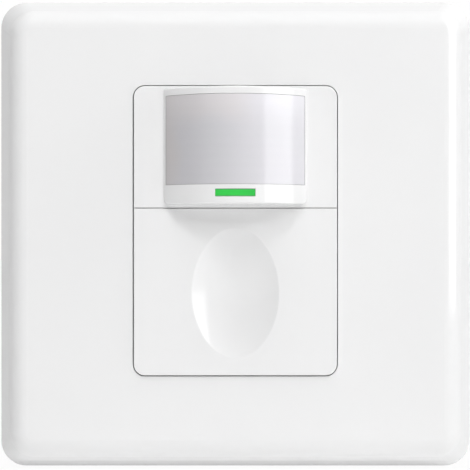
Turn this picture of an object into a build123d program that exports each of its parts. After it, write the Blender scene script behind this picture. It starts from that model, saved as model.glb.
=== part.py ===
"""A flush wall switch with a motion sensor over its push button, as the pieces it comes apart into.

X runs to the right, Z runs up and Y runs into the wall. The origin is the middle of the wall plate
on the wall's surface, so the front of the switch faces -Y and its back box lies at +Y, in the wall.
A piece's two distances are measured forward from the wall's surface, and are negative inside it.
All lengths are in millimetres and all angles in degrees.
"""

import os
from math import atan2, degrees, radians, sqrt, tan

from build123d import *

# Clip-on cover plate
plate_width = 88.0
plate_height = 87.0
plate_front = 9.0
plate_corner_radius = 4.75
front_corner_radius = 4.1
side_taper_angle = 25.0
side_band = 2.0
shoulder_radius = 3.8
cover_wall = 1.8
wall_gap = 0.3
edge_radius = 0.3
notch_width = 9.0
notch_depth = 1.0

# Clips between the cover and the base
lug_length = 6.0
lug_spread = 22.0
lug_engagement = 0.6
lug_back = 2.2
lug_front = 3.4
lug_clearance = 0.5

# Insert that fills the opening of the cover: the fascia above, the button below
insert_width = 37.2
insert_height = 53.0
insert_centre = 0.6
insert_corner_radius = 2.05
insert_rise = 0.6
insert_gap = 0.2
seam_gap = 0.12
insert_edge_radius = 0.15
fascia_height = 22.3
front_wall = 1.6
skirt_wall = 1.2

# Bowed hood of the fascia and the lens in it
hood_width = 26.2
hood_margin = 0.6
hood_step = 1.0
hood_bulge = 6.5
hood_wall = 1.2
hood_corner_radius = 1.0
window_width = 25.4
window_top_band = 1.35
window_bottom_band = 3.5
lens_gap = 0.05
lens_recess = 0.06
lens_wall = 0.8
lens_flange_side = 1.6
lens_flange_end = 0.6
groove_width = 0.3
groove_depth = 0.2
groove_count = 9
groove_step_angle = 9.0

# Lens retainer, held by pins of the fascia
retainer_thickness = 1.2
retainer_margin = 0.5
retainer_rim = 1.1
pin_radius = 0.7
pin_clearance = 0.08
pin_inset = 1.8
pin_end_inset = 2.6
pin_proud = 0.4

# Light pipe and the lamp behind it
pipe_width = 7.1
pipe_height = 1.28
pipe_above_hood_bottom = 2.0
pipe_gap = 0.06
pipe_shank_width = 6.4
pipe_wing_width = 9.1
pipe_wing_front = 14.3
pipe_wing_thickness = 1.0
led_size = 3.0
led_height = 1.8
led_gap = 0.3

# Push button, its scooped dish and its pivot
dish_width = 16.0
dish_height = 23.8
dish_depth = 2.2
dish_drop = 0.2
dish_back_wall = 1.5
dish_edge_radius = 0.5
button_back = 5.8
pivot_drop = 3.2
trunnion_radius = 1.0
trunnion_clearance = 0.04
trunnion_lug_width = 3.6
trunnion_lug_proud = 1.1
ear_thickness = 1.4
ear_wall = 0.5
ear_clearance = 0.5
trunnion_overrun = 0.2
leg_spread = 5.0
leg_width = 3.0
leg_thickness = 1.0
leg_gap = 0.5
nose_reach = 0.8
nose_height = 1.2
nose_gap = 0.1
leg_window_clearance = 0.25
leg_window_play = 0.5

# Hooks that hold the fascia
hook_width = 4.0
hook_thickness = 1.0
hook_nose = 0.9
hook_nose_height = 1.2
hook_back = 1.6
hook_clearance = 0.3
hook_heights_share = (0.25, 0.62)

# Base frame
base_inset = 2.2
base_sheet = 1.8
base_corner_radius = 2.6
base_rim_inset = 1.0
base_rim_wall = 1.4
base_rim_front = 4.4
well_clearance = 0.5
well_wall = 1.2
well_front = 6.8
well_corner_radius = 1.2
housing_seat = 0.6
seat_clearance = 0.2
rib_thickness = 1.0
rib_front = 3.8
side_rib_heights = (-27.0, -14.0, 14.0, 27.0)
end_rib_places = (-14.0, -6.0, 6.0, 14.0)

# Fixing slots for the two wall box screws
fixing_spacing = 60.3
slot_length = 8.0
slot_width = 4.2
slot_pad_margin = 2.1
slot_pad_rise = 0.8

# Case screws
screw_radius = 1.2
screw_head_radius = 2.1
screw_head_height = 1.1
screw_hole_clearance = 0.25
thread_clearance = 0.05
screw_length = 12.6
screw_inset = 2.5
screw_post_size = 5.2
head_recess = 0.1
cross_width = 0.5
cross_length = 2.4
cross_depth = 0.7

# Inner cover over the electronics
inner_cover_back = 3.2
inner_cover_thickness = 1.2
inner_cover_gap = 0.2
cover_hole_clearance = 0.3
tick_length = 0.9
tick_width = 0.25
tick_depth = 0.25
tick_gap = 0.35
tick_count = 9
tick_step_angle = 34.0

# Control board and what stands on it
board_thickness = 1.6
board_front = 0.8
board_edge_gap = 0.7
board_end_gap = 1.2
board_corner_gap = 0.4
sensor_radius = 4.1
sensor_flange_radius = 4.6
sensor_flange_height = 0.5
sensor_can_height = 4.2
sensor_window_width = 4.0
sensor_window_height = 3.0
sensor_window_depth = 0.25
lead_radius = 0.3
lead_hole_clearance = 0.15
lead_circle_radius = 2.54
lead_tail = 1.2
light_sensor_radius = 1.5
light_sensor_height = 4.2
light_sensor_side_share = 0.576
chip_width = 10.0
chip_height = 4.0
chip_back = 0.1
chip_thickness = 1.4
chip_place_share = (-0.57, -0.186)
chip_leg_count = 7
chip_leg_pitch = 1.27
chip_leg_width = 0.42
chip_leg_reach = 1.0
chip_leg_thickness = 0.25

# Tactile switch under the button
tact_lever = 15.0
tact_size = 6.0
tact_body_height = 3.5
tact_wall = 0.7
tact_roof = 0.7
tact_plunger_radius = 1.75
tact_plunger_proud = 0.9
tact_plunger_clearance = 0.06
tact_collar_radius = 2.2
tact_collar_height = 0.7
tact_collar_gap = 0.05
tact_dome_height = 0.55
tact_dome_thickness = 0.15
tact_dome_radius = 2.1
tact_floor = 0.8
tact_press_gap = 0.1
tact_post_radius = 1.7

# Trimmers with their dials
dial_rise = 5.5
dial_post_gap = 0.7
trimmer_radius = 3.3
trimmer_height = 2.2
dial_radius = 2.3
dial_front = 4.9
dial_gap = 0.1
dial_hole_clearance = 0.3
spindle_radius = 1.0
spindle_clearance = 0.05
spindle_length = 1.2
dial_slot_width = 0.7
dial_slot_depth = 0.6
dial_slot_length = 3.6
dial_mark_radius = 0.3
dial_mark_share = 0.74

# Rear housing in the wall box
housing_width = 48.0
housing_height = 58.0
housing_back = -26.0
housing_wall = 1.8
housing_corner_radius = 3.0
housing_inner_radius = 1.2
housing_boss_radius = 3.1
housing_boss_back = -10.0
board_post_inset = 2.8
board_post_spread_share = 0.58
board_post_radius = 1.6
board_shoulder_radius = 2.8
board_post_clearance = 0.2

# Power board and what stands on it
power_board_front = -14.0
power_board_gap = 0.3
header_pin_count = 6
header_pitch = 2.54
header_pin_width = 0.64
header_bar_height = 2.5
header_place_share = (0.0, 0.855)
relay_size = (20.0, 10.2)
relay_height = 12.4
relay_place_share = (-0.205, 0.223)
relay_rounding = 0.5
relay_base_inset = 0.4
relay_base_height = 1.2
film_capacitor_size = (13.0, 6.0)
film_capacitor_height = 11.5
film_capacitor_place_share = (-0.274, -0.23)
film_capacitor_rounding = 0.8
can_radius = 4.0
can_height = 11.5
can_place_share = (0.566, 0.186)
can_groove_depth = 0.3
can_groove_height = 0.7
can_groove_rise = 1.0
varistor_radius = 4.3
varistor_thickness = 3.4
varistor_place_share = (0.438, -0.253)
varistor_leg_radius = 0.35
varistor_leg_spread = 5.0
varistor_lift = 0.9
fuse_radius = 1.7
fuse_length = 10.0
fuse_cap_radius = 1.9
fuse_cap_length = 1.8
fuse_place_share = (0.0, -0.565)
fuse_lift = 0.4
choke_radius = 3.7
choke_core_radius = 3.1
choke_height = 8.0
choke_flange_height = 1.1
choke_place_share = (-0.347, -0.788)
bridge_size = (8.2, 6.4)
bridge_height = 2.6
bridge_post_gap = 1.9
bridge_rise_share = 0.595
bridge_rounding = 0.4

# Screw terminals at the lower edge of the housing
pole_pitch = 8.0
pole_count = 3
wire_bore_radius = 1.7
wire_bore_forward = -19.2
wire_window_margin = 0.5
wire_funnel_radius = 1.9
block_width = 25.2
block_height = 9.2
block_end_gap = 0.4
block_back_gap = 0.2
clamp_width = 5.4
clamp_depth = 6.2
clamp_height = 6.6
clamp_back = -23.2
clamp_clearance = 0.1
clamp_drop = 1.2
tail_width = 1.0
tail_height = 1.5
terminal_screw_radius = 1.25
terminal_head_radius = 1.9
terminal_head_height = 1.3
terminal_head_clearance = 0.25
terminal_window_radius = 2.4
bore_margin = 0.1

# Overrun of a cut past the face it opens
overrun = 1.0


def block(size, span, places=((0, 0),), radius=0, mode=Mode.ADD):
    """A prism that is a rectangle seen from the front, between two distances forward of the wall."""
    back, front = span
    with BuildSketch(Plane.XZ.offset(back)) as outline:
        with Locations(*places):
            if radius:
                RectangleRounded(*size, radius)
            else:
                Rectangle(*size)
    extrude(outline.sketch, amount=front - back, mode=mode)


def post(radius, span, places=((0, 0),), mode=Mode.ADD):
    """A round post that points at the viewer, between two distances forward of the wall."""
    back, front = span
    with BuildSketch(Plane.XZ.offset(back)) as outline:
        with Locations(*places):
            Circle(radius)
    extrude(outline.sketch, amount=front - back, mode=mode)


def cone(back_radius, front_radius, span, places=((0, 0),), mode=Mode.ADD):
    """A post whose radius changes evenly from its back to its front."""
    back, front = span
    spread_angle = degrees(atan2(back_radius - front_radius, front - back))
    with BuildSketch(Plane.XZ.offset(back)) as outline:
        with Locations(*places):
            Circle(back_radius)
    extrude(outline.sketch, amount=front - back, taper=spread_angle, mode=mode)


def rod_across(radius, left, right, forward, height, mode=Mode.ADD):
    """A round rod parallel to X."""
    with BuildSketch(Plane.YZ.offset(left)) as outline:
        with Locations((-forward, height)):
            Circle(radius)
    extrude(outline.sketch, amount=right - left, mode=mode)


def rod_up(radius, low, high, forward, places, mode=Mode.ADD):
    """Round rods parallel to Z, one at each place along X."""
    with BuildSketch(Plane.XY.offset(low)) as outline:
        with Locations(*[(x, -forward) for x in places]):
            Circle(radius)
    extrude(outline.sketch, amount=high - low, mode=mode)


def bowed_block(half_width, radius, back, low, high, mode=Mode.ADD):
    """An upright prism whose front is bowed about the hood's axis, between two heights."""
    side = hood_axis + sqrt(radius**2 - half_width**2)
    with BuildSketch(Plane.XY.offset(low)) as outline:
        with BuildLine():
            ThreePointArc((-half_width, -side), (0, -(hood_axis + radius)), (half_width, -side))
            Polyline((half_width, -side), (half_width, -back), (-half_width, -back), (-half_width, -side))
        make_face()
    extrude(outline.sketch, amount=high - low, mode=mode)


def cross_recess(front, places):
    """A cross cut into the front of each screw head."""
    cut = (front - cross_depth, front + overrun)
    block((cross_length, cross_width), cut, places, mode=Mode.SUBTRACT)
    block((cross_width, cross_length), cut, places, mode=Mode.SUBTRACT)


def both_sides(x, *heights):
    """The same heights on the left and on the right."""
    return [(side * x, height) for side in (-1, 1) for height in heights]


def on_board(size, share):
    """A place on a board, as a share of the way from its middle to its right and upper edges."""
    return (share[0] * size[0] / 2, insert_centre + share[1] * size[1] / 2)


# Levels forward of the wall
insert_front = plate_front + insert_rise
insert_inside = insert_front - front_wall
hood_front = plate_front + hood_step + hood_bulge
inner_cover_front = inner_cover_back + inner_cover_thickness
board_back = board_front - board_thickness
power_board_back = power_board_front - board_thickness
housing_floor = housing_back + housing_wall

# Heights and half widths of the insert
insert_top = insert_centre + insert_height / 2
insert_bottom = insert_top - insert_height
fascia_bottom = insert_top - fascia_height
fascia_centre = insert_top - fascia_height / 2
button_top = fascia_bottom - seam_gap
button_height = button_top - insert_bottom
button_centre = insert_bottom + button_height / 2
skirt_inside = insert_width / 2 - skirt_wall
well_width = insert_width + 2 * well_clearance
well_height = insert_height + 2 * well_clearance

# Hood and window
hood_half = hood_width / 2
hood_radius = (hood_half**2 + hood_bulge**2) / (2 * hood_bulge)
hood_axis = hood_front - hood_radius
hood_bottom = fascia_bottom + hood_margin
hood_top = insert_top - hood_margin
window_half = window_width / 2
window_bottom = hood_bottom + window_bottom_band
window_top = hood_top - window_top_band
window_centre = (window_bottom + window_top) / 2
pipe_centre = hood_bottom + pipe_above_hood_bottom

# Boards and places shared by several pieces
board_size = (well_width - 2 * board_edge_gap, well_height - 2 * board_end_gap)
housing_inside = (housing_width - 2 * housing_wall, housing_height - 2 * housing_wall)
power_size = (housing_inside[0] - 2 * power_board_gap, housing_inside[1] - 2 * power_board_gap)
screw_places = both_sides(
    well_width / 2 - screw_inset,
    insert_centre - well_height / 2 + screw_inset,
    insert_centre + well_height / 2 - screw_inset,
)
board_post_side = board_size[0] / 2 - board_post_inset
board_post_spread = board_post_spread_share * board_size[1] / 2
board_posts = both_sides(
    board_post_side,
    insert_centre - board_post_spread,
    insert_centre + board_post_spread,
)
hook_heights = [fascia_bottom + share * fascia_height for share in hook_heights_share]
pivot_height = button_top - pivot_drop
tact_centre = pivot_height - tact_lever
dial_height = insert_bottom + dial_rise
dial_spread = well_width / 2 - screw_inset - screw_post_size / 2 - dial_post_gap - trimmer_radius
dial_places = {
    "time": (-dial_spread, dial_height),
    "light": (0, dial_height),
    "range": (dial_spread, dial_height),
}
light_sensor_side = light_sensor_side_share * board_size[0] / 2
chip_place = on_board(board_size, chip_place_share)
header_place = on_board(power_size, header_place_share)
relay_place = on_board(power_size, relay_place_share)
film_capacitor_place = on_board(power_size, film_capacitor_place_share)
can_place = on_board(power_size, can_place_share)
varistor_place = on_board(power_size, varistor_place_share)
fuse_place = on_board(power_size, fuse_place_share)
choke_place = on_board(power_size, choke_place_share)
bridge_side = board_post_side - board_post_radius - bridge_post_gap - bridge_size[0] / 2
bridge_place = (bridge_side, insert_centre + bridge_rise_share * power_size[1] / 2)
leg_height = insert_bottom + skirt_wall + leg_gap + leg_thickness / 2
pole_places = [(index - (pole_count - 1) / 2) * pole_pitch for index in range(pole_count)]

# Cover plate: an upright band at the wall, leaning sides and a rounded shoulder round a flat front


def leaning_sides(inset, front, corner_radius, top_corner_radius, mode=Mode.ADD):
    """The space inside the plate's outline, drawn in by an inset, from the wall gap to a front level."""
    lean = (front - side_band) * tan(radians(side_taper_angle))
    width = plate_width - 2 * inset
    height = plate_height - 2 * inset
    block((width, height), (wall_gap, side_band), radius=corner_radius, mode=mode)
    with BuildSketch(Plane.XZ.offset(side_band)) as lower:
        RectangleRounded(width, height, corner_radius)
    with BuildSketch(Plane.XZ.offset(front)) as upper:
        RectangleRounded(width - 2 * lean, height - 2 * lean, top_corner_radius)
    loft(sections=[lower.sketch, upper.sketch], ruled=True, mode=mode)


opening_size = (insert_width + 2 * insert_gap, insert_height + 2 * insert_gap)
opening_radius = insert_corner_radius + insert_gap
flange_size = (well_width + 2 * well_wall, well_height + 2 * well_wall)
rim_half_width = plate_width / 2 - base_inset - base_rim_inset
rim_half_height = plate_height / 2 - base_inset - base_rim_inset
lug_reach = base_inset + base_rim_inset + lug_engagement - cover_wall / 2
side_lug = rim_half_width - lug_engagement + lug_reach / 2
end_lug = rim_half_height - lug_engagement + lug_reach / 2

with BuildPart() as cover_frame:
    leaning_sides(0, plate_front, plate_corner_radius, front_corner_radius)
    fillet(cover_frame.faces().sort_by(Axis.Y)[0].edges(), shoulder_radius)
    leaning_sides(
        cover_wall,
        plate_front - cover_wall,
        plate_corner_radius - cover_wall,
        front_corner_radius - cover_wall,
        mode=Mode.SUBTRACT,
    )
    block(flange_size, (well_front, plate_front - cover_wall / 2), [(0, insert_centre)], well_corner_radius)
    through = (wall_gap, plate_front + overrun)
    block(opening_size, through, [(0, insert_centre)], opening_radius, Mode.SUBTRACT)
    fillet(cover_frame.faces().sort_by(Axis.Y)[0].inner_wires()[0].edges(), insert_edge_radius)
    block((lug_reach, lug_length), (lug_back, lug_front), both_sides(side_lug, -lug_spread, lug_spread))
    end_lugs = [(x, z) for x in (-lug_spread, lug_spread) for z in (-end_lug, end_lug)]
    block((lug_length, lug_reach), (lug_back, lug_front), end_lugs)
    notch_place = (0, -plate_height / 2 + cover_wall / 2)
    notch_size = (notch_width, cover_wall + overrun)
    block(notch_size, (wall_gap, wall_gap + notch_depth), [notch_place], mode=Mode.SUBTRACT)

# Base frame: the sheet that is screwed to the wall box, its rim and the well round the insert
base_width = plate_width - 2 * base_inset
base_height = plate_height - 2 * base_inset
rim_size = (2 * rim_half_width, 2 * rim_half_height)
rim_inside = (rim_size[0] - 2 * base_rim_wall, rim_size[1] - 2 * base_rim_wall)
lug_window = (lug_back - lug_engagement / 2, lug_front + lug_engagement / 2)
slot_places = [(-fixing_spacing / 2, 0), (fixing_spacing / 2, 0)]
screw_hole_radius = screw_radius + screw_hole_clearance

with BuildPart() as base_frame:
    block((base_width, base_height), (0, base_sheet), radius=base_corner_radius)
    block(rim_size, (base_sheet, base_rim_front), radius=base_corner_radius)
    block(rim_inside, (base_sheet, base_rim_front), radius=base_rim_wall, mode=Mode.SUBTRACT)
    block((rim_inside[0], rib_thickness), (base_sheet, rib_front), [(0, z) for z in side_rib_heights])
    block((rib_thickness, rim_inside[1]), (base_sheet, rib_front), [(x, 0) for x in end_rib_places])
    block(flange_size, (0, well_front), [(0, insert_centre)], well_corner_radius)
    well_size = (well_width, well_height)
    block(well_size, (0, well_front), [(0, insert_centre)], well_corner_radius, Mode.SUBTRACT)
    block((screw_post_size, screw_post_size), (0, inner_cover_back), screw_places)
    post(screw_hole_radius, (0, inner_cover_back), screw_places, mode=Mode.SUBTRACT)
    seat_size = (housing_width + 2 * seat_clearance, housing_height + 2 * seat_clearance)
    block(seat_size, (0, housing_seat), [(0, insert_centre)], housing_corner_radius, Mode.SUBTRACT)
    pad_size = (slot_length + 2 * slot_pad_margin, slot_width + 2 * slot_pad_margin)
    block(pad_size, (base_sheet, base_sheet + slot_pad_rise), slot_places, slot_pad_margin)
    with BuildSketch(Plane.XZ) as slots:
        with Locations(*slot_places):
            SlotOverall(slot_length, slot_width)
    extrude(slots.sketch, amount=base_sheet + slot_pad_rise, mode=Mode.SUBTRACT)
    side_windows = both_sides(rim_half_width - base_rim_wall / 2, -lug_spread, lug_spread)
    window_length = lug_length + 2 * lug_clearance
    block((base_rim_wall + lug_clearance, window_length), lug_window, side_windows, mode=Mode.SUBTRACT)
    end_window = rim_half_height - base_rim_wall / 2
    end_windows = [(x, z) for x in (-lug_spread, lug_spread) for z in (-end_window, end_window)]
    block((window_length, base_rim_wall + lug_clearance), lug_window, end_windows, mode=Mode.SUBTRACT)
    hook_window = (hook_back - hook_clearance / 2, hook_back + hook_nose_height + hook_clearance / 2)
    hook_places = both_sides(well_width / 2 + well_wall / 2, *hook_heights)
    hook_cut = (well_wall + lug_clearance, hook_width + 2 * hook_clearance)
    block(hook_cut, hook_window, hook_places, mode=Mode.SUBTRACT)

# Fascia: the upper half of the insert, with the bowed hood that frames the lens
with BuildPart() as hood:
    bowed_block(hood_half, hood_radius, insert_inside, hood_bottom, hood_top)
    fillet(hood.edges().filter_by(Axis.Y).group_by(Axis.Z)[0], hood_corner_radius)
    fillet(hood.edges().filter_by(GeomType.CIRCLE).filter_by(Plane.XY), edge_radius)

pocket_size = (insert_width - 2 * skirt_wall, fascia_height - 2 * skirt_wall)
pin_places = both_sides(
    skirt_inside - pin_inset,
    window_bottom + pin_end_inset,
    window_top - pin_end_inset,
)
retainer_back = insert_inside - lens_wall - retainer_thickness

with BuildPart() as sensor_fascia:
    fascia_span = (inner_cover_front, insert_front)
    block((insert_width, insert_height), fascia_span, [(0, insert_centre)], insert_corner_radius)
    block((insert_width, fascia_height), fascia_span, [(0, fascia_centre)], mode=Mode.INTERSECT)
    fillet(sensor_fascia.faces().sort_by(Axis.Y)[0].edges(), insert_edge_radius)
    block(pocket_size, (inner_cover_front, insert_inside), [(0, fascia_centre)], mode=Mode.SUBTRACT)
    add(hood.part)
    bowed_block(
        hood_half - hood_wall,
        hood_radius - hood_wall,
        insert_inside,
        hood_bottom + hood_wall,
        window_bottom,
        mode=Mode.SUBTRACT,
    )
    window_size = (window_width, window_top - window_bottom)
    window_span = (insert_inside, hood_front + overrun)
    block(window_size, window_span, [(0, window_centre)], mode=Mode.SUBTRACT)
    slit_size = (pipe_width + 2 * pipe_gap, pipe_height + 2 * pipe_gap)
    block(slit_size, window_span, [(0, pipe_centre)], mode=Mode.SUBTRACT)
    post(pin_radius, (retainer_back - pin_proud, insert_inside), pin_places)
    hook_side = insert_width / 2 - hook_thickness / 2
    hook_sides = both_sides(hook_side, *hook_heights)
    block((hook_thickness, hook_width), (hook_back, inner_cover_front), hook_sides)
    nose_side = insert_width / 2 + hook_nose / 2 - hook_thickness / 2
    nose_sides = both_sides(nose_side, *hook_heights)
    nose_size = (hook_nose + hook_thickness, hook_width)
    block(nose_size, (hook_back, hook_back + hook_nose_height), nose_sides)

# Lens: a thin bowed cap with a flange behind the fascia and upright segments moulded inside
lens_half = window_half - lens_gap
lens_radius = hood_radius - lens_recess
lens_bottom = window_bottom + lens_gap
lens_top = window_top - lens_gap
flange_back = insert_inside - lens_wall

with BuildPart() as fresnel_lens:
    bowed_block(lens_half, lens_radius, flange_back, lens_bottom, lens_top)
    lens_flange = (window_width + 2 * lens_flange_side, window_top - window_bottom + 2 * lens_flange_end)
    block(lens_flange, (flange_back, insert_inside), [(0, window_centre)], edge_radius)
    bowed_block(
        lens_half - lens_wall,
        lens_radius - lens_wall,
        flange_back,
        lens_bottom + lens_wall,
        lens_top - lens_wall,
        mode=Mode.SUBTRACT,
    )
    groove_reach = lens_radius - lens_wall + groove_depth
    groove_fan = (groove_count - 1) * groove_step_angle
    groove_span = (lens_bottom + lens_wall, lens_top - lens_wall)
    with BuildSketch(Plane.XY.offset(groove_span[0])) as grooves:
        with Locations((0, -hood_axis)):
            first_groove = -90 - groove_fan / 2
            with PolarLocations(groove_reach / 2, groove_count, first_groove, groove_fan, endpoint=True):
                Rectangle(groove_reach, groove_width)
    extrude(grooves.sketch, amount=groove_span[1] - groove_span[0], mode=Mode.SUBTRACT)

# Lens retainer: a frame pressed over the fascia's pins
with BuildPart() as lens_retainer:
    retainer_span = (retainer_back, flange_back)
    retainer_size = (2 * (skirt_inside - retainer_margin), lens_flange[1])
    block(retainer_size, retainer_span, [(0, window_centre)], edge_radius)
    retainer_opening = (window_width - 2 * retainer_rim, window_size[1] - 2 * retainer_rim)
    block(retainer_opening, retainer_span, [(0, window_centre)], retainer_rim, Mode.SUBTRACT)
    post(pin_radius + pin_clearance, retainer_span, pin_places, mode=Mode.SUBTRACT)

# Light pipe: carries the lamp's light from the board to the slit in the hood
led_front = board_front + led_height
with BuildPart() as light_pipe:
    pipe_low = pipe_centre - pipe_height / 2
    pipe_high = pipe_centre + pipe_height / 2
    bowed_block(pipe_width / 2, hood_radius - pipe_gap, pipe_wing_front, pipe_low, pipe_high)
    wing_span = (pipe_wing_front - pipe_wing_thickness, pipe_wing_front)
    block((pipe_wing_width, pipe_height), wing_span, [(0, pipe_centre)])
    block((pipe_shank_width, pipe_height), (led_front + led_gap, pipe_wing_front), [(0, pipe_centre)])

# Push button: the lower half of the insert, scooped for a fingertip and hinged near its top edge
dish_half = dish_width / 2
dish_centre = button_centre - dish_drop
dish_axis = insert_front + (dish_half**2 - dish_depth**2) / (2 * dish_depth)
dish_turn = Axis((0, -dish_axis, 0), (0, 0, 1))


def scoop(depth, half_height, front):
    """A solid of revolution about an upright axis before the button, as deep as its profile's arc."""
    with BuildSketch(Plane.YZ) as profile:
        with BuildLine():
            ThreePointArc(
                (-front, dish_centre - half_height),
                (depth - insert_front, dish_centre),
                (-front, dish_centre + half_height),
            )
            Polyline(
                (-front, dish_centre + half_height),
                (-dish_axis, dish_centre + half_height),
                (-dish_axis, dish_centre - half_height),
                (-front, dish_centre - half_height),
            )
        make_face()
    return profile.sketch


with BuildPart() as dish_cutter:
    revolve(scoop(dish_depth, dish_height / 2, insert_front), axis=dish_turn)

with BuildPart() as dish_back:
    back_outline = scoop(dish_depth + dish_back_wall, dish_height / 2 + dish_back_wall, insert_front)
    revolve(back_outline, axis=dish_turn)
    bump_size = (dish_width + 2 * front_wall, dish_height + 2 * front_wall)
    block(bump_size, (button_back, insert_inside + front_wall / 2), [(0, dish_centre)], mode=Mode.INTERSECT)

trunnion_inner = skirt_inside - ear_clearance - ear_thickness - trunnion_overrun
dish_back_level = insert_front - dish_depth - dish_back_wall

with BuildPart() as push_button:
    button_span = (button_back, insert_front)
    block((insert_width, insert_height), button_span, [(0, insert_centre)], insert_corner_radius)
    block((insert_width, button_height), button_span, [(0, button_centre)], mode=Mode.INTERSECT)
    fillet(push_button.faces().sort_by(Axis.Y)[0].edges(), insert_edge_radius)
    button_pocket = (insert_width - 2 * skirt_wall, button_height - 2 * skirt_wall)
    block(button_pocket, (button_back, insert_inside), [(0, button_centre)], mode=Mode.SUBTRACT)
    add(dish_back.part)
    add(dish_cutter.part, mode=Mode.SUBTRACT)
    fillet(push_button.faces().sort_by(Axis.Y)[0].inner_wires()[0].edges(), dish_edge_radius)
    tact_front = board_front + tact_body_height + tact_plunger_proud + tact_press_gap
    post(tact_post_radius, (tact_front, dish_back_level + dish_back_wall / 2), [(0, tact_centre)])
    lug_size = (skirt_wall, trunnion_lug_width)
    lug_span = (button_back - trunnion_lug_proud, insert_inside)
    block(lug_size, lug_span, both_sides(skirt_inside + skirt_wall / 2, pivot_height))
    for side in (-1, 1):
        ends = sorted((side * trunnion_inner, side * (skirt_inside + skirt_wall / 2)))
        rod_across(trunnion_radius, *ends, button_back, pivot_height)
    nose_front = inner_cover_back - nose_gap
    leg_span = (nose_front - nose_height, insert_inside)
    block((leg_width, leg_thickness), leg_span, both_sides(leg_spread, leg_height))
    leg_nose = (leg_width, leg_thickness + nose_reach)
    leg_nose_places = both_sides(leg_spread, leg_height - nose_reach / 2)
    block(leg_nose, (nose_front - nose_height, nose_front), leg_nose_places)

# Inner cover: closes the electronics off and carries the fascia and the button's ears
ear_centre = skirt_inside - ear_clearance - ear_thickness / 2
ear_radius = trunnion_radius + trunnion_clearance + ear_wall

with BuildPart() as inner_cover:
    lid_span = (inner_cover_back, inner_cover_front)
    lid_size = (well_width - 2 * inner_cover_gap, well_height - 2 * inner_cover_gap)
    block(lid_size, lid_span, [(0, insert_centre)], well_corner_radius)
    ear_span = (inner_cover_front, button_back + ear_radius)
    block((ear_thickness, 2 * ear_radius), ear_span, both_sides(ear_centre, pivot_height))
    for side in (-1, 1):
        ends = sorted((side * (ear_centre - ear_thickness), side * (ear_centre + ear_thickness)))
        bore_radius = trunnion_radius + trunnion_clearance
        rod_across(bore_radius, *ends, button_back, pivot_height, mode=Mode.SUBTRACT)
    post(sensor_radius + cover_hole_clearance, lid_span, [(0, window_centre)], mode=Mode.SUBTRACT)
    light_hole = light_sensor_radius + cover_hole_clearance
    post(light_hole, lid_span, [(light_sensor_side, window_centre)], mode=Mode.SUBTRACT)
    pipe_hole = (pipe_shank_width + cover_hole_clearance, pipe_height + cover_hole_clearance)
    block(pipe_hole, lid_span, [(0, pipe_centre)], mode=Mode.SUBTRACT)
    tact_hole = tact_size + 2 * cover_hole_clearance
    block((tact_hole, tact_hole), lid_span, [(0, tact_centre)], mode=Mode.SUBTRACT)
    post(dial_radius + dial_hole_clearance, lid_span, dial_places.values(), mode=Mode.SUBTRACT)
    leg_window_height = leg_thickness + leg_window_clearance + leg_window_play
    leg_window = (leg_width + 2 * leg_window_clearance, leg_window_height)
    leg_windows = both_sides(leg_spread, leg_height + (leg_window_play - leg_window_clearance) / 2)
    block(leg_window, lid_span, leg_windows, mode=Mode.SUBTRACT)
    hook_slot = (2 * (hook_thickness + hook_clearance + well_clearance), hook_width + 2 * hook_clearance)
    block(hook_slot, lid_span, both_sides(well_width / 2, *hook_heights), mode=Mode.SUBTRACT)
    post(screw_hole_radius, lid_span, screw_places, mode=Mode.SUBTRACT)
    head_span = (inner_cover_front - head_recess - screw_head_height, inner_cover_front)
    head_clear = screw_head_radius + screw_hole_clearance
    cone(screw_radius + screw_hole_clearance, head_clear, head_span, screw_places, Mode.SUBTRACT)
    tick_radius = dial_radius + dial_hole_clearance + tick_gap + tick_length / 2
    tick_fan = (tick_count - 1) * tick_step_angle
    with BuildSketch(Plane.XZ.offset(inner_cover_front - tick_depth)) as ticks:
        with Locations(*dial_places.values()):
            with PolarLocations(tick_radius, tick_count, 90 - tick_fan / 2, tick_fan, endpoint=True):
                Rectangle(tick_length, tick_width)
    extrude(ticks.sketch, amount=tick_depth, mode=Mode.SUBTRACT)

# Control board between the inner cover and the posts of the housing
corner_cut = screw_inset + housing_boss_radius + board_corner_gap
with BuildPart() as control_board:
    board_span = (board_back, board_front)
    block(board_size, board_span, [(0, insert_centre)])
    well_ends = (insert_centre - well_height / 2, insert_centre + well_height / 2)
    well_corners = both_sides(well_width / 2, *well_ends)
    block((2 * corner_cut, 2 * corner_cut), board_span, well_corners, mode=Mode.SUBTRACT)
    with BuildSketch(Plane.XZ.offset(board_back)) as lead_holes:
        with Locations((0, window_centre)):
            with PolarLocations(lead_circle_radius, 3):
                Circle(lead_radius + lead_hole_clearance)
    extrude(lead_holes.sketch, amount=board_thickness, mode=Mode.SUBTRACT)

with BuildPart() as pir_sensor:
    flange_front = board_front + sensor_flange_height
    can_front = board_front + sensor_can_height
    post(sensor_flange_radius, (board_front, flange_front), [(0, window_centre)])
    post(sensor_radius, (flange_front, can_front), [(0, window_centre)])
    fillet(pir_sensor.faces().sort_by(Axis.Y)[0].edges(), edge_radius)
    pir_opening = (sensor_window_width, sensor_window_height)
    pir_window_span = (can_front - sensor_window_depth, can_front)
    block(pir_opening, pir_window_span, [(0, window_centre)], mode=Mode.SUBTRACT)

with BuildPart() as pir_window:
    block(pir_opening, pir_window_span, [(0, window_centre)])

with BuildPart() as pir_leads:
    with BuildSketch(Plane.XZ.offset(board_back - lead_tail)) as leads:
        with Locations((0, window_centre)):
            with PolarLocations(lead_circle_radius, 3):
                Circle(lead_radius)
    extrude(leads.sketch, amount=board_thickness + lead_tail)

with BuildPart() as light_sensor:
    light_place = [(light_sensor_side, window_centre)]
    post(light_sensor_radius, (board_front, board_front + light_sensor_height), light_place)
    fillet(light_sensor.faces().sort_by(Axis.Y)[0].edges(), light_sensor_radius / 2)

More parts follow.
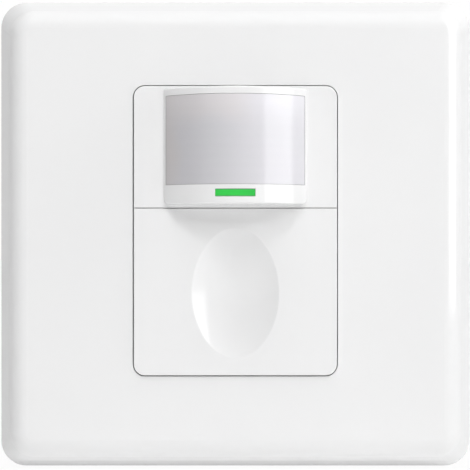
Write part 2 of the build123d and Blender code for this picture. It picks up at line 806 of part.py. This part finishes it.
with BuildPart() as status_led:
    block((led_size, led_size), (board_front, led_front), [(0, pipe_centre)], edge_radius)

with BuildPart() as microcontroller:
    chip_span = (board_front + chip_back, board_front + chip_back + chip_thickness)
    block((chip_width, chip_height), chip_span, [chip_place])
    chip_x, chip_z = chip_place
    legs = [
        (chip_x + (index - (chip_leg_count - 1) / 2) * chip_leg_pitch, chip_z)
        for index in range(chip_leg_count)
    ]
    leg_size = (chip_leg_width, chip_height + 2 * chip_leg_reach)
    block(leg_size, (board_front, board_front + chip_leg_thickness), legs)

# Tactile switch: a box with a snap dome under a collared plunger
tact_front_level = board_front + tact_body_height
tact_ceiling = tact_front_level - tact_roof
collar_front = tact_ceiling - tact_collar_gap
tact_base = board_front + tact_floor
with BuildPart() as tact_switch_body:
    block((tact_size, tact_size), (board_front, tact_front_level), [(0, tact_centre)], tact_wall)
    chamber_radius = tact_size / 2 - tact_wall
    plunger_hole = tact_plunger_radius + tact_plunger_clearance
    post(chamber_radius, (tact_base, tact_ceiling), [(0, tact_centre)], mode=Mode.SUBTRACT)
    post(plunger_hole, (tact_ceiling, tact_front_level), [(0, tact_centre)], mode=Mode.SUBTRACT)

with BuildPart() as tact_switch_plunger:
    plunger_front = tact_front_level + tact_plunger_proud
    post(tact_collar_radius, (collar_front - tact_collar_height, collar_front), [(0, tact_centre)])
    post(tact_plunger_radius, (collar_front, plunger_front), [(0, tact_centre)])
    fillet(tact_switch_plunger.faces().sort_by(Axis.Y)[0].edges(), edge_radius)

dome_curve = (tact_dome_radius**2 + tact_dome_height**2) / (2 * tact_dome_height)
with BuildPart() as tact_dome:
    with Locations((0, dome_curve - tact_dome_height - tact_base, tact_centre)):
        Sphere(dome_curve)
        Sphere(dome_curve - tact_dome_thickness, mode=Mode.SUBTRACT)
    dome_span = (tact_base, tact_base + tact_dome_height)
    post(tact_dome_radius, dome_span, [(0, tact_centre)], mode=Mode.INTERSECT)

# Trimmers: a fixed drum with a screwdriver dial that turns in it
trimmer_front = board_front + trimmer_height
trimmers = {}
dials = {}
for setting, place in dial_places.items():
    with BuildPart() as trimmer:
        post(trimmer_radius, (board_front, trimmer_front), [place])
        seat_back = trimmer_front + dial_gap - spindle_length - spindle_clearance
        post(spindle_radius + spindle_clearance, (seat_back, trimmer_front), [place], mode=Mode.SUBTRACT)
    trimmers[f"{setting}_trimmer"] = trimmer
    with BuildPart() as dial:
        dial_back = trimmer_front + dial_gap
        post(spindle_radius, (dial_back - spindle_length, dial_back), [place])
        post(dial_radius, (dial_back, dial_front), [place])
        slot_cut = (dial_front - dial_slot_depth, dial_front)
        block((dial_slot_width, dial_slot_length), slot_cut, [place], mode=Mode.SUBTRACT)
        mark = (place[0], place[1] + dial_mark_share * dial_radius)
        post(dial_mark_radius, slot_cut, [mark], mode=Mode.SUBTRACT)
    dials[f"{setting}_dial"] = dial

# Rear housing: the cup in the wall box that holds the power board
housing_place = [(0, insert_centre)]
housing_bottom = insert_centre - housing_height / 2
with BuildPart() as rear_housing:
    housing_size = (housing_width, housing_height)
    block(housing_size, (housing_back, housing_seat), housing_place, housing_corner_radius)
    block(housing_inside, (housing_floor, housing_seat), housing_place, housing_inner_radius, Mode.SUBTRACT)
    post(housing_boss_radius, (housing_boss_back, housing_seat), screw_places)
    screw_hole = screw_radius + thread_clearance
    post(screw_hole, (housing_boss_back, housing_seat), screw_places, mode=Mode.SUBTRACT)
    post(board_shoulder_radius, (housing_floor, power_board_back), board_posts)
    post(board_post_radius, (power_board_back, board_back), board_posts)
    window_reach = wire_funnel_radius + wire_window_margin
    wire_window = ((pole_count - 1) * pole_pitch + 2 * window_reach, 2 * (housing_wall + overrun))
    wire_window_span = (wire_bore_forward - window_reach, wire_bore_forward + window_reach)
    block(wire_window, wire_window_span, [(0, housing_bottom)], mode=Mode.SUBTRACT)
    block_bottom = housing_bottom + housing_wall + block_end_gap
    clamp_bottom = block_bottom + clamp_drop
    clamp_centre = clamp_bottom + clamp_height / 2
    window_places = [(x, clamp_centre) for x in pole_places]
    post(terminal_window_radius, (housing_back, housing_floor), window_places, mode=Mode.SUBTRACT)

with BuildPart() as case_screws:
    head_front = inner_cover_front - head_recess
    neck = head_front - screw_head_height
    post(screw_radius, (head_front - screw_length, neck), screw_places)
    cone(screw_radius, screw_head_radius, (neck, head_front), screw_places)
    cross_recess(head_front, screw_places)

# Power board and its components
with BuildPart() as power_board:
    power_span = (power_board_back, power_board_front)
    block(power_size, power_span, housing_place, housing_inner_radius)
    post(board_post_radius + board_post_clearance, power_span, board_posts, mode=Mode.SUBTRACT)

with BuildPart() as board_header:
    header_x, header_z = header_place
    pins = [
        (header_x + (index - (header_pin_count - 1) / 2) * header_pitch, header_z)
        for index in range(header_pin_count)
    ]
    block((header_pin_width, header_pin_width), (power_board_front, board_back), pins)
    bar_size = (header_pin_count * header_pitch, header_pitch)
    block(bar_size, (board_back - header_bar_height, board_back), [header_place])
    block(bar_size, (power_board_front, power_board_front + header_bar_height), [header_place])

with BuildPart() as relay:
    base_size = (relay_size[0] - 2 * relay_base_inset, relay_size[1] - 2 * relay_base_inset)
    relay_foot = power_board_front + relay_base_height
    block(base_size, (power_board_front, relay_foot), [relay_place])
    block(relay_size, (relay_foot, power_board_front + relay_height), [relay_place], relay_rounding)
    fillet(relay.faces().sort_by(Axis.Y)[0].edges(), edge_radius)

with BuildPart() as film_capacitor:
    film_span = (power_board_front, power_board_front + film_capacitor_height)
    block(film_capacitor_size, film_span, [film_capacitor_place], film_capacitor_rounding)
    fillet(film_capacitor.faces().sort_by(Axis.Y)[0].edges(), film_capacitor_rounding / 2)

with BuildPart() as electrolytic_capacitor:
    groove_low = power_board_front + can_groove_rise
    groove_high = groove_low + can_groove_height
    post(can_radius, (power_board_front, groove_low), [can_place])
    post(can_radius - can_groove_depth, (groove_low, groove_high), [can_place])
    post(can_radius, (groove_high, power_board_front + can_height), [can_place])
    fillet(electrolytic_capacitor.faces().sort_by(Axis.Y)[0].edges(), edge_radius)

with BuildPart() as varistor:
    disc_x, disc_z = varistor_place
    disc_forward = power_board_front + varistor_lift + varistor_radius
    disc_left = disc_x - varistor_thickness / 2
    rod_across(varistor_radius, disc_left, disc_left + varistor_thickness, disc_forward, disc_z)
    fillet(varistor.edges(), edge_radius)
    disc_legs = [(disc_x, disc_z - varistor_leg_spread / 2), (disc_x, disc_z + varistor_leg_spread / 2)]
    post(varistor_leg_radius, (power_board_front, disc_forward), disc_legs)

with BuildPart() as fuse:
    fuse_x, fuse_z = fuse_place
    fuse_forward = power_board_front + fuse_lift + fuse_cap_radius
    fuse_left = fuse_x - fuse_length / 2
    fuse_right = fuse_left + fuse_length
    rod_across(fuse_radius, fuse_left, fuse_right, fuse_forward, fuse_z)
    rod_across(fuse_cap_radius, fuse_left, fuse_left + fuse_cap_length, fuse_forward, fuse_z)
    rod_across(fuse_cap_radius, fuse_right - fuse_cap_length, fuse_right, fuse_forward, fuse_z)
    fuse_legs = [(fuse_left + fuse_cap_length / 2, fuse_z), (fuse_right - fuse_cap_length / 2, fuse_z)]
    post(varistor_leg_radius, (power_board_front, fuse_forward), fuse_legs)

with BuildPart() as choke:
    choke_top = power_board_front + choke_height
    post(choke_core_radius, (power_board_front, choke_top), [choke_place])
    post(choke_radius, (power_board_front, power_board_front + choke_flange_height), [choke_place])
    post(choke_radius, (choke_top - choke_flange_height, choke_top), [choke_place])

with BuildPart() as bridge_rectifier:
    bridge_span = (power_board_front, power_board_front + bridge_height)
    block(bridge_size, bridge_span, [bridge_place], bridge_rounding)
    fillet(bridge_rectifier.faces().sort_by(Axis.Y)[0].edges(), edge_radius)

# Terminal block: wires enter from below, and the screws are turned from the back of the housing
clamp_front = clamp_back + clamp_depth
block_back = housing_floor + block_back_gap
block_centre = block_bottom + block_height / 2
with BuildPart() as terminal_block:
    block((block_width, block_height), (block_back, power_board_back), [(0, block_centre)])
    pocket = (clamp_width + 2 * clamp_clearance, clamp_height + 2 * clamp_clearance)
    pocket_span = (clamp_back - clamp_clearance, power_board_back)
    block(pocket, pocket_span, window_places, mode=Mode.SUBTRACT)
    rod_up(
        wire_funnel_radius,
        block_bottom,
        clamp_bottom,
        wire_bore_forward,
        pole_places,
        mode=Mode.SUBTRACT,
    )
    head_hole = terminal_head_radius + terminal_head_clearance
    post(head_hole, (block_back, clamp_back), window_places, mode=Mode.SUBTRACT)

clamps = {}
for pole, x in zip(("line", "neutral", "load"), pole_places):
    with BuildPart() as clamp:
        block((clamp_width, clamp_height), (clamp_back, clamp_front), [(x, clamp_centre)])
        block((tail_width, tail_height), (clamp_front, power_board_back), [(x, clamp_centre)])
        rod_up(
            wire_bore_radius,
            clamp_bottom,
            clamp_bottom + clamp_height,
            wire_bore_forward,
            [x],
            mode=Mode.SUBTRACT,
        )
        screw_hole = terminal_screw_radius + thread_clearance
        post(screw_hole, (clamp_back, wire_bore_forward), [(x, clamp_centre)], mode=Mode.SUBTRACT)
    clamps[f"{pole}_clamp"] = clamp

with BuildPart() as terminal_screws:
    screw_tip = wire_bore_forward - wire_bore_radius - bore_margin
    head_back = clamp_back - terminal_head_height
    post(terminal_screw_radius, (clamp_back, screw_tip), window_places)
    post(terminal_head_radius, (head_back, clamp_back), window_places)
    slot_span = (head_back, head_back + cross_depth)
    block((2 * terminal_head_radius, cross_width), slot_span, window_places, mode=Mode.SUBTRACT)

pieces = {
    "cover_frame": cover_frame,
    "base_frame": base_frame,
    "sensor_fascia": sensor_fascia,
    "fresnel_lens": fresnel_lens,
    "lens_retainer": lens_retainer,
    "light_pipe": light_pipe,
    "push_button": push_button,
    "inner_cover": inner_cover,
    "control_board": control_board,
    "pir_sensor": pir_sensor,
    "pir_window": pir_window,
    "pir_leads": pir_leads,
    "light_sensor": light_sensor,
    "status_led": status_led,
    "microcontroller": microcontroller,
    "tact_switch_body": tact_switch_body,
    "tact_switch_plunger": tact_switch_plunger,
    "tact_dome": tact_dome,
    **trimmers,
    **dials,
    "rear_housing": rear_housing,
    "case_screws": case_screws,
    "power_board": power_board,
    "board_header": board_header,
    "relay": relay,
    "film_capacitor": film_capacitor,
    "electrolytic_capacitor": electrolytic_capacitor,
    "varistor": varistor,
    "fuse": fuse,
    "choke": choke,
    "bridge_rectifier": bridge_rectifier,
    "terminal_block": terminal_block,
    **clamps,
    "terminal_screws": terminal_screws,
}

os.makedirs("parts", exist_ok=True)
for name, piece in pieces.items():
    piece.part.label = name
    export_step(piece.part, f"parts/{name}.step")
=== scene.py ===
"""Looks for the motion sensor light switch: its plastics, lens, lamp and electronics, and a white studio."""

import math

import bpy
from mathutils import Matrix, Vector


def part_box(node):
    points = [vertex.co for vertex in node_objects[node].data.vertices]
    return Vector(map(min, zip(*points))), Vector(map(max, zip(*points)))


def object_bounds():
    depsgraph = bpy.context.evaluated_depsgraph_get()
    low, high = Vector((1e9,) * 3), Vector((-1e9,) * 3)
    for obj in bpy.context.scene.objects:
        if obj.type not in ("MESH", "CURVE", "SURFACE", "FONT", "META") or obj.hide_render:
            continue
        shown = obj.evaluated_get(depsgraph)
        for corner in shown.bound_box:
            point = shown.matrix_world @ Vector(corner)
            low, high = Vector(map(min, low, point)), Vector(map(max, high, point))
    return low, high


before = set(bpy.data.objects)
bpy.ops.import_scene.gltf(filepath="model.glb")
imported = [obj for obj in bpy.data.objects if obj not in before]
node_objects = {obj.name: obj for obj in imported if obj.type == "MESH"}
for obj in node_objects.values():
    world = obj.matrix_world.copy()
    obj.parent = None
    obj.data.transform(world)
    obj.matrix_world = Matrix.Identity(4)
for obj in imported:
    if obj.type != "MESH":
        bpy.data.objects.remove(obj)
cad_low, cad_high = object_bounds()

plated_colour = (0.66, 0.66, 0.67)
header_bar_thickness = 0.0026
view_distance = 0.289
view_height = -0.0011
view_lens = 116.9
view_sensor = 36.0
view_shift = (-0.0007, 0.0106)
floor_size = 6.0
floor_drop = 0.0002
floor_colour = (0.9, 0.9, 0.9)
floor_brightness = 0.95
surround_light = 0.1


class Shade:
    """A number, colour or vector that varies over a surface, so that sums can be written as Python."""

    def __init__(self, graph, socket):
        self.graph = graph
        self.socket = socket

    def __add__(self, other):
        return self.graph.maths("ADD", self, other)

    def __sub__(self, other):
        return self.graph.maths("SUBTRACT", self, other)

    def __mul__(self, other):
        return self.graph.maths("MULTIPLY", self, other)

    __radd__ = __add__
    __rmul__ = __mul__


class Graph:
    """The nodes of one material or of the world."""

    def __init__(self, tree):
        self.tree = tree

    def add(self, kind, settings=None, output=0, **inputs):
        """Adds a node. An input is named by its label, or by its number after an underscore."""
        node = self.tree.nodes.new(kind)
        for name, value in (settings or {}).items():
            setattr(node, name, value)
        for name, value in inputs.items():
            socket = node.inputs[int(name[1:])] if name[0] == "_" else node.inputs[name.replace("_", " ")]
            self.feed(socket, value)
        return Shade(self, node.outputs[output])

    def feed(self, socket, value):
        if isinstance(value, Shade):
            self.tree.links.new(value.socket, socket)
        elif isinstance(value, tuple) and len(value) == 3 and socket.type == "RGBA":
            socket.default_value = (*value, 1)
        else:
            socket.default_value = value

    def maths(self, operation, first, second=0.0):
        return self.add("ShaderNodeMath", {"operation": operation}, _0=first, _1=second)

    def looked_at(self):
        """1 where the camera, a mirror or glass looks, and 0 where light is gathered."""
        rays = ("Is Camera Ray", "Is Glossy Ray", "Is Transmission Ray")
        camera_ray, glossy_ray, glass_ray = (self.add("ShaderNodeLightPath", output=ray) for ray in rays)
        return self.maths("MAXIMUM", self.maths("MAXIMUM", camera_ray, glossy_ray), glass_ray)


class Finish(Graph):
    """One material of the switch. Constants go on its shader, and what varies is linked to it."""

    def __init__(self, name, colour, roughness, **constants):
        self.material = bpy.data.materials.new(name)
        self.material.use_nodes = True
        super().__init__(self.material.node_tree)
        self.shader = self.tree.nodes["Principled BSDF"]
        self.shader.inputs["Base Color"].default_value = (*colour, 1)
        self.shader.inputs["Roughness"].default_value = roughness
        for socket, value in constants.items():
            self.shader.inputs[socket.replace("_", " ")].default_value = value
        self.place = self.add("ShaderNodeTexCoord", output="Object")

    def axis(self, letter):
        return self.add("ShaderNodeSeparateXYZ", output=letter.upper(), Vector=self.place)

    def noise(self, size, detail=3.0, roughness=0.5):
        """Noise from 0 to 1 whose features are about size metres across."""
        settings = {"noise_dimensions": "3D"}
        values = {"Scale": 1 / size, "Detail": detail, "Roughness": roughness}
        return self.add("ShaderNodeTexNoise", settings, Vector=self.place, **values)

    def spots(self, size):
        """Distance to the nearest of many scattered points, as a share of size."""
        return self.add("ShaderNodeTexVoronoi", {"feature": "F1"}, Vector=self.place, Scale=1 / size)

    def rise(self, value, low, high, out_low=0.0, out_high=1.0):
        """A smooth step from out_low to out_high as value goes from low to high."""
        settings = {"interpolation_type": "SMOOTHSTEP", "clamp": True}
        return self.add("ShaderNodeMapRange", settings, _0=value, _1=low, _2=high, _3=out_low, _4=out_high)

    def mix(self, factor, first, second):
        settings = {"data_type": "RGBA", "blend_type": "MIX"}
        return self.add("ShaderNodeMix", settings, output=2, _0=factor, _6=first, _7=second)

    def scaled(self, colour, factor):
        """A colour made lighter or darker by a factor."""
        return self.add("ShaderNodeVectorMath", {"operation": "SCALE"}, _0=colour, Scale=factor)

    def paint(self, colour):
        self.feed(self.shader.inputs["Base Color"], colour)

    def rub(self, roughness):
        self.feed(self.shader.inputs["Roughness"], roughness)

    def plate(self, share):
        """Metal where share is 1."""
        self.feed(self.shader.inputs["Metallic"], share)

    def bump(self, height, depth):
        """Raises the surface by up to depth metres where height is 1."""
        normal = self.add("ShaderNodeBump", Strength=1.0, Distance=depth, Height=height)
        self.feed(self.shader.inputs["Normal"], normal)

    def on(self, *nodes):
        for name in nodes:
            for slot in node_objects[name].material_slots:
                slot.material = self.material


def shade_of(colour, factor):
    """A plain colour made lighter or darker by a factor."""
    return tuple(min(1.0, channel * factor) for channel in colour)


def moulded(name, colour, roughness, grain, grain_depth, mottle=0.03, **constants):
    """Injection moulded plastic: a faint mottle, a fine spark grain and a slow change of gloss."""
    finish = Finish(name, colour, roughness, **constants)
    cloud = finish.noise(0.012, 2.0)
    finish.paint(finish.mix(cloud, shade_of(colour, 1 - mottle), shade_of(colour, 1 + mottle)))
    gloss = finish.noise(0.006, 3.0)
    finish.rub(gloss * (0.35 * roughness) + 0.825 * roughness)
    finish.bump(finish.noise(grain, 4.0, 0.6), grain_depth)
    return finish


def glossy_white():
    """Polished white plastic with a trace of waviness and a few specks of dust."""
    finish = Finish("white_plastic", (0.85, 0.85, 0.852), 0.08, IOR=1.5)
    cloud = finish.noise(0.02, 2.0)
    white = finish.mix(cloud, (0.842, 0.842, 0.846), (0.858, 0.858, 0.858))
    dust = finish.rise(finish.spots(0.0045), 0.035, 0.02)
    finish.paint(finish.mix(dust * 0.1, white, (0.55, 0.54, 0.52)))
    finish.rub(finish.noise(0.004, 3.0) * 0.03 + 0.065 + dust * 0.2)
    ripple = finish.noise(0.0016, 2.0)
    grain = finish.noise(0.00018, 2.0)
    finish.bump(ripple * 0.8 + grain * 0.2, 0.0000015)
    return finish


def milky_lens():
    """Thin polythene lens: lilac grey, warmer at its left and top, with painted shade to its left and
    painted light to its right and top.
    """
    finish = Finish("lens_plastic", (0.655, 0.648, 0.68), 0.15, IOR=1.5, Specular_IOR_Level=0.4)
    across = finish.axis("x")
    height = finish.axis("z")
    cloud = finish.noise(0.006, 2.0)
    warm = finish.rise(across + cloud * 0.004, -0.007, -0.0105)
    top = finish.rise(height + cloud * 0.004, 0.0205, 0.0255)
    pink = top * finish.rise(across, 0.005, -0.001) * 0.8
    tint = finish.mix(cloud, (0.65, 0.652, 0.675), (0.662, 0.645, 0.684))
    tint = finish.mix(warm, tint, (0.685, 0.655, 0.662))
    tint = finish.mix(pink, tint, (0.69, 0.662, 0.672))
    # painted shade and light: the lens colour is scaled darker towards its left and lighter towards its
    # right and top, with faint flow lines added
    painted_light_and_flow = finish.rise(across, -0.013, 0.0125, 0.83, 1.1) * finish.rise(height, 0.018, 0.0275, 1.0, 1.16)
    flow = finish.add("ShaderNodeTexWave", {"bands_direction": "Z"}, Vector=finish.place,
                      Scale=180.0, Distortion=1.5, Detail=1.0)
    painted_light_and_flow = painted_light_and_flow + flow * 0.008
    finish.paint(finish.scaled(tint, painted_light_and_flow))
    finish.rub(finish.noise(0.002) * 0.05 + 0.12)
    finish.bump(finish.noise(0.0008, 2.0), 0.000002)
    return finish


def lit_pipe():
    """Clear plastic with green light in it, with painted shade along its rim, and a little darker towards
    its right end.
    """
    finish = Finish("light_pipe_green", (0.02, 0.5, 0.05), 0.3, IOR=1.49, Emission_Strength=0.15)
    low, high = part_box("light_pipe")
    half = (high.z - low.z) / 2
    off_middle = finish.maths("ABSOLUTE", finish.axis("z") - (low.z + half))
    # painted shade: the pipe is darkened along its rim, where the slit around it shades it
    painted_rim_shade = finish.rise(off_middle, half - 0.00028, half - 0.00008)
    along = finish.rise(finish.axis("x"), 0.0, 0.0036)
    glow = finish.noise(0.0015, 2.0)
    green = finish.mix(along, (0.02, 0.52, 0.055), (0.012, 0.43, 0.045))
    green = finish.mix(glow * 0.2, green, (0.03, 0.56, 0.07))
    finish.paint(finish.mix(painted_rim_shade, green, (0.06, 0.36, 0.09)))
    light = finish.mix(along, (0.02, 0.5, 0.05), (0.01, 0.4, 0.04))
    finish.feed(finish.shader.inputs["Emission Color"], light)
    finish.rub(glow * 0.1 + 0.25)
    return finish


def solder_mask():
    """Green board: woven glass showing through, copper tracks under the lacquer."""
    finish = Finish("circuit_board", (0.02, 0.13, 0.05), 0.35, IOR=1.5)
    tracks = finish.add("ShaderNodeTexBrick", {"offset": 0.37, "squash": 1.6, "squash_frequency": 3},
                        output="Fac", Vector=finish.place, Scale=420.0, Mortar_Size=0.018)
    glass = finish.add("ShaderNodeTexChecker", output=1, Vector=finish.place, Scale=1800.0)
    mask = finish.mix(tracks, (0.018, 0.12, 0.045), (0.04, 0.22, 0.08))
    finish.paint(finish.mix(glass * 0.12, mask, (0.05, 0.2, 0.08)))
    finish.rub(finish.noise(0.001) * 0.1 + 0.3)
    finish.bump(tracks * 0.8 + glass * 0.2, 0.00003)
    return finish


def plated(name, colour, roughness, line):
    """Plated or turned metal with fine lines and a few duller patches."""
    finish = Finish(name, colour, roughness, Metallic=1.0)
    stretched = finish.add("ShaderNodeMapping", Vector=finish.place, Scale=(1.0, 1.0, 14.0))
    lines = finish.add("ShaderNodeTexNoise", Vector=stretched, Scale=1 / line, Detail=3.0)
    patches = finish.noise(0.0015, 3.0)
    finish.paint(finish.mix(patches * 0.5, colour, shade_of(colour, 0.72)))
    finish.rub(lines * 0.15 + patches * 0.15 + roughness - 0.12)
    finish.bump(lines, 0.000004)
    return finish


def dipped(name, colour):
    """A component dipped in resin: wavy, glossy and slightly pooled."""
    finish = Finish(name, colour, 0.25, Coat_Weight=0.4, Coat_Roughness=0.1)
    pool = finish.noise(0.002, 2.0)
    finish.paint(finish.mix(pool, shade_of(colour, 0.8), shade_of(colour, 1.2)))
    finish.rub(pool * 0.1 + 0.22)
    finish.bump(finish.noise(0.0012, 1.0), 0.00004)
    return finish


def sleeve():
    """Shrunk sleeve with a paler stripe down one side, over the can's pressed top."""
    finish = Finish("capacitor_sleeve", (0.02, 0.025, 0.05), 0.3, IOR=1.5)
    low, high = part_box("electrolytic_capacitor")
    middle = (low.x + high.x) / 2
    stripe = finish.rise(finish.axis("x"), middle + 0.0022, middle + 0.0024)
    film = finish.mix(stripe, (0.02, 0.025, 0.05), (0.55, 0.57, 0.6))
    across = finish.axis("x") - middle
    upright = finish.axis("z") - (low.z + high.z) / 2
    radius = finish.maths("SQRT", across * across + upright * upright)
    top = finish.rise(finish.axis("y"), low.y + 0.0004, low.y + 0.0003)
    top = top * finish.rise(radius, (high.x - low.x) * 0.41, (high.x - low.x) * 0.4)
    finish.paint(finish.mix(top, film, (0.66, 0.67, 0.69)))
    finish.plate(top)
    finish.rub(finish.noise(0.001) * 0.1 + 0.27)
    finish.bump(finish.noise(0.0009, 2.0), 0.00001)
    return finish


def ceramic_fuse():
    """Ceramic tube between two plated caps."""
    finish = Finish("fuse_ceramic", (0.8, 0.78, 0.72), 0.35, IOR=1.5)
    low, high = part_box("fuse")
    middle = (low.x + high.x) / 2
    reach = (high.x - low.x) / 2 - 0.0018
    along = finish.axis("x") - middle
    distance = finish.maths("ABSOLUTE", along)
    cap = finish.rise(distance, reach - 0.0001, reach)
    glaze = finish.noise(0.0008, 2.0)
    tube = finish.mix(glaze, (0.77, 0.75, 0.68), (0.83, 0.81, 0.76))
    finish.paint(finish.mix(cap, tube, (0.68, 0.68, 0.7)))
    finish.plate(cap)
    finish.rub(glaze * 0.1 + 0.3)
    finish.bump(glaze, 0.000005)
    return finish


def with_pins(name, node, axis, inner, outer):
    """Black moulding with plated legs or pins, which lie from inner to outer metres off its middle."""
    finish = Finish(name, (0.03, 0.03, 0.03), 0.4, IOR=1.5)
    low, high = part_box(node)
    middle = (getattr(low, axis) + getattr(high, axis)) / 2
    distance = finish.maths("ABSOLUTE", finish.axis(axis) - middle)
    metal = finish.rise(distance, inner, inner + 0.00003) * finish.rise(distance, outer + 0.00003, outer)
    grain = finish.noise(0.0003, 3.0)
    black = finish.mix(grain, (0.025, 0.025, 0.027), (0.045, 0.045, 0.045))
    finish.paint(finish.mix(metal, black, plated_colour))
    finish.plate(metal)
    finish.rub(grain * 0.15 + 0.35 - metal * 0.1)
    finish.bump(grain, 0.00001)
    return finish


def clear_resin():
    """Clear moulded resin with a faint haze round the chip inside."""
    finish = Finish("sensor_clear", (0.8, 0.84, 0.82), 0.12, IOR=1.55, Transmission_Weight=0.5)
    haze = finish.noise(0.0008, 2.0)
    finish.paint(finish.mix(haze, (0.74, 0.8, 0.77), (0.86, 0.88, 0.86)))
    finish.rub(haze * 0.08 + 0.08)
    finish.bump(haze, 0.000004)
    return finish


def dark_filter():
    """Dark infrared filter with a violet cast, set in the can's window."""
    finish = Finish("filter_dark", (0.02, 0.016, 0.022), 0.08, IOR=1.9)
    cast = finish.noise(0.001, 1.0)
    finish.paint(finish.mix(cast, (0.014, 0.012, 0.018), (0.035, 0.024, 0.04)))
    finish.rub(cast * 0.06 + 0.06)
    finish.bump(cast, 0.000002)
    return finish


glossy_white().on("cover_frame", "sensor_fascia", "push_button")
milky_lens().on("fresnel_lens")
lit_pipe().on("light_pipe")
satin = moulded("frame_plastic", (0.76, 0.76, 0.75), 0.42, 0.0003, 0.000012)
satin.on("base_frame", "inner_cover", "lens_retainer")
moulded("housing_plastic", (0.72, 0.72, 0.71), 0.45, 0.0004, 0.000016).on("rear_housing")
solder_mask().on("control_board", "power_board")
plated("can_steel", (0.62, 0.62, 0.64), 0.26, 0.0004).on("pir_sensor")
dark_filter().on("pir_window")
plated("lead_metal", (0.72, 0.72, 0.72), 0.24, 0.0002).on("pir_leads", "tact_dome")
clear_resin().on("light_sensor", "status_led")
black_package = moulded("component_black", (0.022, 0.022, 0.024), 0.5, 0.0002, 0.000012, mottle=0.15)
black_package.on("tact_switch_body", "bridge_rectifier", "relay", "choke")
with_pins("chip_black", "microcontroller", "z", 0.002, 0.0035).on("microcontroller")
header_low, header_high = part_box("board_header")
pin_reach = (header_high.y - header_low.y) / 2 - header_bar_thickness
with_pins("header_black", "board_header", "y", -1.0, pin_reach).on("board_header")
moulded("plunger_plastic", (0.03, 0.03, 0.03), 0.38, 0.0002, 0.00001, mottle=0.1).on("tact_switch_plunger")
trimmer = moulded("trimmer_blue", (0.03, 0.11, 0.36), 0.4, 0.0003, 0.00001, mottle=0.08)
trimmer.on("time_trimmer", "light_trimmer", "range_trimmer")
dial = moulded("dial_white", (0.74, 0.74, 0.71), 0.4, 0.0003, 0.00001)
dial.on("time_dial", "light_dial", "range_dial")
moulded("capacitor_yellow", (0.7, 0.46, 0.04), 0.38, 0.0004, 0.00001, mottle=0.06).on("film_capacitor")
sleeve().on("electrolytic_capacitor")
dipped("varistor_blue", (0.02, 0.09, 0.3)).on("varistor")
ceramic_fuse().on("fuse")
moulded("terminal_plastic", (0.03, 0.17, 0.06), 0.42, 0.0003, 0.00001, mottle=0.08).on("terminal_block")
plated("terminal_brass", (0.72, 0.5, 0.19), 0.3, 0.0003).on("line_clamp", "neutral_clamp", "load_clamp")
plated("screw_steel", plated_colour, 0.28, 0.0002).on("case_screws", "terminal_screws")


def floor_material():
    """A pale floor that the camera and reflections see as white, but that still takes the shadow."""
    finish = Finish("floor_white", floor_colour, 0.9)
    glow = finish.add("ShaderNodeEmission", Color=(1, 1, 1))
    share = finish.looked_at() * floor_brightness
    plain = Shade(finish, finish.shader.outputs[0])
    mixed = finish.add("ShaderNodeMixShader", _0=share, _1=plain, _2=glow)
    finish.feed(finish.tree.nodes["Material Output"].inputs["Surface"], mixed)
    return finish.material


def pale_floor(level):
    """A white table, which lets light through from below."""
    bpy.ops.mesh.primitive_plane_add(size=floor_size, location=(0, 0, level))
    floor = bpy.context.object
    floor.name = "floor"
    floor.data.materials.append(floor_material())
    floor.visible_shadow = False


def white_world(strength):
    """The object is lit at strength, and camera, mirror and glass see white."""
    world = bpy.data.worlds.new("studio")
    world.use_nodes = True
    graph = Graph(world.node_tree)
    background = graph.tree.nodes["Background"]
    background.inputs["Color"].default_value = (1, 1, 1, 1)
    graph.feed(background.inputs["Strength"], graph.looked_at() * (1 - strength) + strength)
    bpy.context.scene.world = world


def soft_box(name, place, width, height, power):
    """A rectangular studio lamp at place that shines at the plate's middle and doesn't show in gloss."""
    lamp = bpy.data.lights.new(name, "AREA")
    lamp.shape = "RECTANGLE"
    lamp.size = width
    lamp.size_y = height
    lamp.energy = power
    holder = bpy.data.objects.new(name, lamp)
    bpy.context.scene.collection.objects.link(holder)
    holder.location = place
    holder.rotation_euler = (-Vector(place)).to_track_quat("-Z", "Y").to_euler()
    holder.visible_glossy = False
    return holder


def mirrored_box(name, place, width, height, power):
    """A lamp that only gloss shows: it makes the bright band on the lens and the line on the shoulder."""
    holder = soft_box(name, place, width, height, power)
    holder.visible_glossy = True
    holder.visible_diffuse = False


def front_camera():
    """The photograph's camera, square in front of the plate."""
    data = bpy.data.cameras.new("camera")
    data.lens = view_lens
    data.sensor_width = view_sensor
    data.shift_x, data.shift_y = view_shift
    data.clip_start = 0.01
    camera = bpy.data.objects.new("camera", data)
    camera.location = (0, -view_distance, view_height)
    camera.rotation_euler = (math.pi / 2, 0, 0)
    bpy.context.scene.collection.objects.link(camera)
    bpy.context.scene.camera = camera


# name, place in metres, side in metres, power in watts
lamps = (
    ("high_lamp", (0, -0.848, 0.53), 0.2, 1.0),
    ("upper_lamp", (0, -0.643, 0.766), 0.25, 2.45),
    ("steep_lamp", (0, -0.423, 0.906), 0.4, 0.9),
    ("top_lamp", (0, -0.139, 0.99), 0.4, 2.6),
    ("right_lamp", (0.433, -0.75, 0.5), 0.3, 1.8),
    ("far_right_lamp", (0.903, -0.079, 0.423), 0.5, 3.0),
    ("low_lamp", (0, -0.643, -0.766), 1.0, 1.3),
    ("floor_lamp", (0, 0.06, -1.0), 0.3, 1.4),
    ("left_back_lamp", (-0.4, 0.85, 0), 0.5, 3.5),
    ("right_back_lamp", (0.3, 0.9, 0), 0.5, 3.5),
)

white_world(surround_light)
pale_floor(cad_low.z - floor_drop)
for name, place, side, power in lamps:
    soft_box(name, place, side, side, power)
mirrored_box("side_box", (0.59, -0.355, 0.03), 0.52, 1.0, 5.2)
front_camera()
bpy.context.scene.view_settings.view_transform = "Standard"
